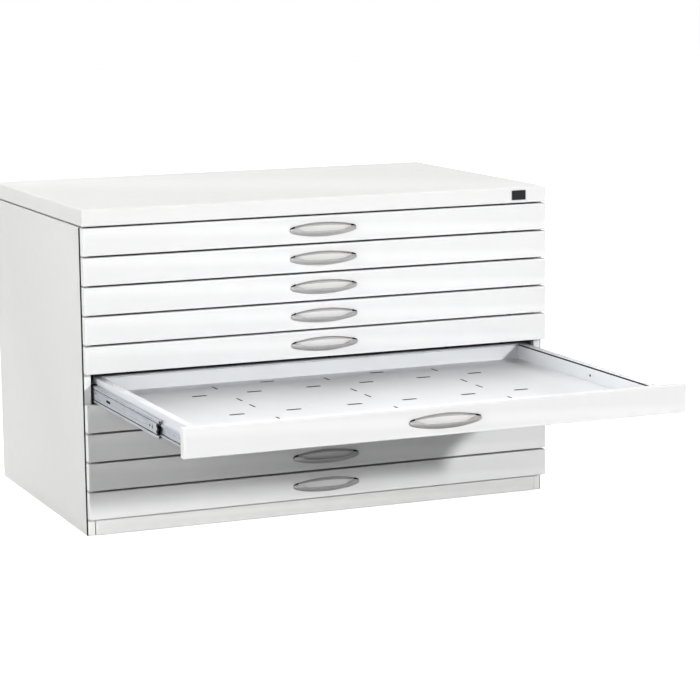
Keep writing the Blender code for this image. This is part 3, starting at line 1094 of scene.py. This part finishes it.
def handle_fullness(share):
    """How full a handle's section is, by its place from the middle (0) to an end (1 or -1)."""
    blunt = math.sqrt(max(1 - abs(share) ** HANDLE_END_SHARPNESS, 0.0))
    end_round = blunt * (1 - HANDLE_END_SHARE) + HANDLE_END_SHARE
    swell = HANDLE_END_FULLNESS + (1 - HANDLE_END_FULLNESS) * (1 - share * share)
    return swell * end_round


def handle_mesh(materials):
    """An open bow: a lip to pull by, a slim rim above it, and ends where the two close up."""
    low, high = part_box("handle_01")
    front_low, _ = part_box("drawer_front_01")
    half_length, half_height = (high.x - low.x) / 2, (high.z - low.z) / 2
    full_reach = high.y - low.y
    centre = (low.z + high.z) / 2 - front_low.z
    face = high.y - front_low.y
    lip_loops, bar_loops = [], []
    for station in range(HANDLE_STATIONS):
        share = math.sin(math.pi * (station / (HANDLE_STATIONS - 1) - 0.5))
        x = share * half_length
        fullness = handle_fullness(share)
        height, reach = half_height * fullness, full_reach * fullness
        closing = eased(abs(share), HANDLE_OPENING, HANDLE_CLOSED)
        lip = HANDLE_LIP_ANGLE + (HANDLE_CLOSED_ANGLE - HANDLE_LIP_ANGLE) * closing
        lip_loops.append([
            Vector((x, face - out, centre + up)) for out, up in lip_section(height, reach, lip)
        ])
        bar_loops.append([
            Vector((x, face - out, centre + up)) for out, up in bar_section(height, reach)
        ])
    shape = bmesh.new()
    add_loops(shape, lip_loops)
    start, shaded_end = HANDLE_SHADE_START, HANDLE_SHADE_START + HANDLE_SHADE_STATIONS
    add_loops(shape, bar_loops[shaded_end:-shaded_end])
    # Painted shade: the rim's end stations get the near-black finish, for the shadowed gap where
    # rim and lip meet
    add_loops(shape, bar_loops[start:shaded_end + 1], SECOND)
    add_loops(shape, bar_loops[-shaded_end - 1:-start], SECOND)
    return finish_mesh("handle", shape, [materials["handle"], materials["plastic_and_shade"]])


def make_drawers(materials):
    """Ten drawers that share their meshes, each piece on its drawer's or its rails' body."""
    front_mesh, tray = drawer_front_mesh(materials), tray_mesh(materials)
    handle, inner = handle_mesh(materials), inner_rail_mesh(materials)
    middle = {side: middle_rail_mesh(side, materials) for side in (-1, 1)}
    cages = cage_mesh(materials)
    drawer_pieces = (
        ("front", front_mesh, "front_paint", ["drawer_front"]),
        ("tray_pan", tray, "tray_paint", ["tray"]),
        ("bow_handle", handle, "satin_silver", ["handle"]),
        ("inner_rails", inner, "zinc_plate", []),
    )
    for label in drawer_labels():
        drawer, rails = f"drawer_{label}", f"middle_rails_{label}"
        front_low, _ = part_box(f"drawer_front_{label}")
        at_front = (0, front_low.y, front_low.z)
        for name, mesh, slot, replaced in drawer_pieces:
            nodes = [f"{node}_{label}" for node in replaced]
            place_piece(f"{name}_{label}", mesh, drawer, slot, nodes, at_front)
        rail_low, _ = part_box(f"middle_rail_left_{label}")
        at_rail = (0, rail_low.y, rail_centre("left", label))
        for side, name in ((-1, "left"), (1, "right")):
            node = f"middle_rail_{name}_{label}"
            place_piece(f"rail_{name}_{label}", middle[side], rails, "zinc_plate", [node], at_rail)
        place_piece(f"ball_cages_{label}", cages, rails, "zinc_plate", (), at_rail)


# ---------------------------------------------------------------- studio


def make_floor():
    """A pale floor under the cabinet."""
    shape = bmesh.new()
    half = FLOOR_SIZE / 2
    corners = ((-half, -half), (half, -half), (half, half), (-half, half))
    shape.faces.new([shape.verts.new((x, y, -FLOOR_DROP)) for x, y in corners])
    mesh = bpy.data.meshes.new("floor")
    shape.to_mesh(mesh)
    shape.free()
    mesh.materials.append(studio_floor("pale_floor"))
    floor = bpy.data.objects.new("floor", mesh)
    bpy.context.scene.collection.objects.link(floor)


def make_world():
    """White light round the horizon and from softboxes, in front of a white backdrop."""
    world = bpy.data.worlds.new("studio")
    world.use_nodes = True
    nodes = NodeTree(world.node_tree)
    direction = nodes.add("ShaderNodeTexCoord").outputs["Generated"]
    height = nodes.add("ShaderNodeSeparateXYZ", {"Vector": direction}).outputs["Z"]
    light = nodes.remap(
        height, HORIZON_LIGHT, SKY_LIGHT, math.sin(HORIZON_TOP), math.sin(SKY_START)
    )
    for aim, spread, box_strength in SOFTBOXES:
        facing = nodes.tree.nodes.new("ShaderNodeVectorMath")
        facing.operation = "DOT_PRODUCT"
        nodes.set(facing, {0: direction, 1: Vector(aim).normalized()})
        edge = math.cos(spread + SOFTBOX_EDGE)
        box = nodes.remap(facing.outputs["Value"], 0.0, box_strength, edge, math.cos(spread))
        light = nodes.math("ADD", light, box)
    seen = nodes.add("ShaderNodeLightPath").outputs["Is Camera Ray"]
    hidden = nodes.math("SUBTRACT", 1.0, seen)
    strength = nodes.math(
        "ADD", nodes.math("MULTIPLY", seen, BACKDROP_LIGHT), nodes.math("MULTIPLY", hidden, light)
    )
    background = nodes.tree.nodes["Background"]
    nodes.set(background, {"Color": (1.0, 1.0, 1.0, 1.0), "Strength": strength})
    bpy.context.scene.world = world


def make_key():
    """A soft key light from low on the right."""
    key = bpy.data.lights.new("key", "SUN")
    key.energy = KEY_STRENGTH
    key.angle = KEY_SOFTNESS
    lamp = bpy.data.objects.new("key", key)
    lamp.rotation_mode = "QUATERNION"
    lamp.rotation_quaternion = Vector(KEY_DIRECTION).to_track_quat("Z", "Y")
    bpy.context.scene.collection.objects.link(lamp)


def make_camera():
    """A long lens a little above the cabinet, left of its middle."""
    forward = Vector((
        math.sin(CAMERA_YAW) * math.cos(CAMERA_PITCH),
        math.cos(CAMERA_YAW) * math.cos(CAMERA_PITCH),
        math.sin(CAMERA_PITCH),
    ))
    right = Vector((math.cos(CAMERA_YAW), -math.sin(CAMERA_YAW), 0.0))
    up = right.cross(forward)
    rolled_right = right * math.cos(CAMERA_ROLL) + up * math.sin(CAMERA_ROLL)
    rolled_up = up * math.cos(CAMERA_ROLL) - right * math.sin(CAMERA_ROLL)
    turn = Matrix((rolled_right, rolled_up, -forward)).transposed().to_4x4()
    camera = bpy.data.objects.new("camera", bpy.data.cameras.new("camera"))
    camera.data.lens = CAMERA_LENS
    camera.data.sensor_width = CAMERA_SENSOR
    camera.data.clip_end = CAMERA_REACH
    camera.matrix_world = Matrix.Translation(CAMERA_PLACE) @ turn
    bpy.context.scene.collection.objects.link(camera)
    bpy.context.scene.camera = camera
    bpy.context.scene.view_settings.view_transform = "Standard"
    bpy.context.scene.view_settings.gamma = CAMERA_GAMMA


finishes = make_materials()
make_carcass(finishes)
make_badge(finishes)
make_rack(-1, "left", finishes)
make_rack(1, "right", finishes)
make_drawers(finishes)
make_floor()
make_world()
make_key()
make_camera()
